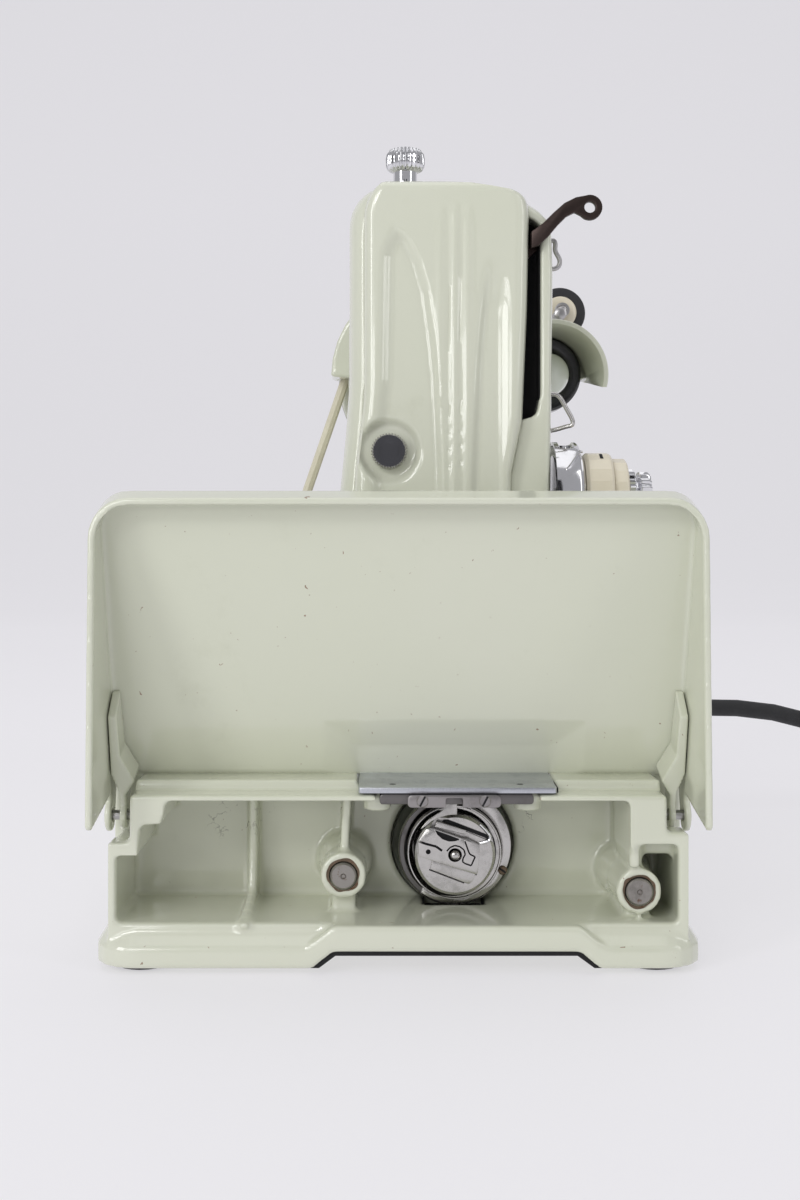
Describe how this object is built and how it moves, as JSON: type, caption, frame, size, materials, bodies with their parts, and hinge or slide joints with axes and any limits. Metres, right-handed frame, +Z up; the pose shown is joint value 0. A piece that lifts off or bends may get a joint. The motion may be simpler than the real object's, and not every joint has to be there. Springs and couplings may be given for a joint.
{
  "type": "sewing machine",
  "caption": "Vintage portable electric lock-stitch sewing machine in pale green enamel, with a folding bed leaf, belt-driven handwheel, bobbin winder, lamp and mains lead.",
  "frame": {"origin": "on the table, under the middle of the bed", "axes": "+X along the bed from the needle end towards the handwheel, -Y towards the operator, +Z up"},
  "size_m": [0.3106, 0.5077, 0.2634],
  "materials": {
    "enamel": "glossy pale green enamel, chipped and rusty at a few edges",
    "steel": "machined steel",
    "dark_steel": "oiled dark steel",
    "chrome": "plated and lightly worn",
    "bakelite": "black phenolic",
    "rubber": "black rubber",
    "cream_plastic": "cream plastic",
    "glass": "pale glass"
  },
  "bodies": {
    "frame": {"bed_casting": "enamel", "drip_pan": "steel", "foot_left_front": "rubber", "foot_left_rear": "rubber", "foot_right_front": "rubber", "foot_right_rear": "rubber", "hinge_pin_front": "steel", "hinge_pin_rear": "steel", "arm_casting": "enamel", "face_plate": "enamel", "spool_pin": "chrome", "needle_plate": "steel", "position_bracket": "dark_steel", "bobbin_case_base": "steel", "motor_body": "enamel", "drive_belt": "cream_plastic", "tension_frame": "chrome", "thread_guide": "steel", "lamp_shade": "enamel", "lamp_socket": "bakelite", "lamp_bulb": "glass", "light_switch": "bakelite", "terminal_block": "bakelite", "cord_connector": "bakelite", "mains_cord": "rubber", "cord_coil": "rubber", "wall_plug": "bakelite"},
    "leaf": {"extension_leaf": "enamel", "hinge_strap_front": "enamel", "hinge_strap_rear": "enamel"},
    "drive": {"arm_shaft": "steel", "handwheel": "enamel"},
    "clutch": {"clutch_knob": "chrome"},
    "hook": {"hook_shaft": "steel", "rotating_hook": "dark_steel", "hook_gib": "steel"},
    "pulley": {"motor_pulley": "steel"},
    "case": {"bobbin_case": "steel"},
    "latch": {"bobbin_case_latch": "steel"},
    "bobbin": {"bobbin": "steel"},
    "feed": {"feed_dog": "steel"},
    "feed_rocker": {"feed_rock_shaft": "steel"},
    "feed_lifter": {"feed_lift_shaft": "steel"},
    "take_up": {"take_up_lever": "dark_steel"},
    "needle_bar": {"needle_bar": "steel", "needle_clamp": "chrome", "needle": "steel"},
    "presser": {"presser_bar": "steel", "presser_foot": "chrome", "presser_foot_screw": "chrome"},
    "lifter": {"presser_lifter": "chrome"},
    "pressure": {"pressure_screw": "chrome"},
    "face_screw": {"face_plate_screw": "chrome"},
    "tension": {"tension_dial": "cream_plastic", "tension_nut": "chrome"},
    "stitch": {"stitch_lever": "chrome"},
    "switch": {"switch_lever": "bakelite"},
    "winder": {"winder_bracket": "steel"},
    "winder_wheel": {"winder_spindle": "steel", "winder_tyre": "rubber"}
  },
  "joints": [
    {"name": "leaf_fold", "type": "hinge", "parent": "frame", "child": "leaf", "pos_m": [-0.1185, 0, 0.0428], "axis": [0, -1, 0], "range_deg": [0, 71.3]},
    {"name": "handwheel_turn", "type": "hinge", "parent": "frame", "child": "drive", "pos_m": [0.13, -0.0174, 0.2015], "axis": [1, 0, 0], "continuous": true},
    {"name": "clutch_turn", "type": "hinge", "parent": "drive", "child": "clutch", "pos_m": [0.145, -0.0174, 0.2015], "axis": [1, 0, 0], "range_deg": [0, 120]},
    {"name": "hook_spin", "type": "hinge", "parent": "frame", "child": "hook", "pos_m": [-0.1, -0.0174, 0.0306], "axis": [1, 0, 0], "continuous": true},
    {"name": "pulley_spin", "type": "hinge", "parent": "frame", "child": "pulley", "pos_m": [0.122, 0.044, 0.106], "axis": [1, 0, 0], "continuous": true},
    {"name": "bobbin_case_pull", "type": "slide", "parent": "frame", "child": "case", "axis": [-1, 0, 0], "range_m": [0, 0.03]},
    {"name": "latch_lift", "type": "hinge", "parent": "case", "child": "latch", "pos_m": [-0.12025, -0.02482, 0.0276], "axis": [0, -0.3518, 0.9361], "range_deg": [0, 60]},
    {"name": "bobbin_spin", "type": "hinge", "parent": "case", "child": "bobbin", "pos_m": [-0.11, -0.0174, 0.0306], "axis": [1, 0, 0], "continuous": true},
    {"name": "feed_rock", "type": "hinge", "parent": "frame", "child": "feed_rocker", "pos_m": [-0.08, -0.0712, 0.0226], "axis": [1, 0, 0], "range_deg": [-8.3, 8.3]},
    {"name": "feed_travel", "type": "slide", "parent": "frame", "child": "feed", "axis": [0, 1, 0], "range_m": [-0.0015, 0.0015]},
    {"name": "feed_lift_rock", "type": "hinge", "parent": "frame", "child": "feed_lifter", "pos_m": [-0.08, 0.0164, 0.0257], "axis": [1, 0, 0], "range_deg": [-8, 8]},
    {"name": "take_up_travel", "type": "slide", "parent": "frame", "child": "take_up", "axis": [0, 0, 1], "range_m": [-0.045, 0]},
    {"name": "needle_bar_stroke", "type": "slide", "parent": "frame", "child": "needle_bar", "axis": [0, 0, 1], "range_m": [-0.022, 0.006]},
    {"name": "presser_lift", "type": "slide", "parent": "frame", "child": "presser", "axis": [0, 0, 1], "range_m": [0, 0.006]},
    {"name": "lifter_turn", "type": "hinge", "parent": "frame", "child": "lifter", "pos_m": [-0.094, 0.0201, 0.126], "axis": [0, -1, 0], "range_deg": [-1, 82]},
    {"name": "pressure_screw_turn", "type": "hinge", "parent": "frame", "child": "pressure", "pos_m": [-0.094, -0.0026, 0.2397], "axis": [0, 0, 1], "range_deg": [-180, 180]},
    {"name": "face_screw_turn", "type": "hinge", "parent": "frame", "child": "face_screw", "pos_m": [-0.106, 0.0026, 0.1541], "axis": [1, 0, 0], "range_deg": [-180, 180]},
    {"name": "tension_turn", "type": "hinge", "parent": "frame", "child": "tension", "pos_m": [-0.09, -0.06, 0.1407], "axis": [0, 1, 0], "range_deg": [-150, 150]},
    {"name": "stitch_length", "type": "hinge", "parent": "frame", "child": "stitch", "pos_m": [0.092, -0.02, 0.106], "axis": [1, 0, 0], "range_deg": [-25, 25]},
    {"name": "switch_rock", "type": "hinge", "parent": "frame", "child": "switch", "pos_m": [0.1424, 0.047, 0.036], "axis": [0, 1, 0], "range_deg": [-12, 12]},
    {"name": "winder_swing", "type": "hinge", "parent": "frame", "child": "winder", "pos_m": [0.1, -0.056, 0.2], "axis": [-1, 0, 0], "range_deg": [0, 33]},
    {"name": "winder_spin", "type": "hinge", "parent": "winder", "child": "winder_wheel", "pos_m": [0.13, -0.0787, 0.2341], "axis": [1, 0, 0], "continuous": true}
  ],
  "couplings": [
    {"joint": "hook_spin", "follows": "handwheel_turn", "ratio": 2},
    {"joint": "pulley_spin", "follows": "handwheel_turn", "ratio": 3.5472},
    {"joint": "feed_rock", "follows": "feed_travel", "rad_per_m": 92.991},
    {"joint": "lifter_turn", "follows": "presser_lift", "rad_per_m": 232.48}
  ]
}
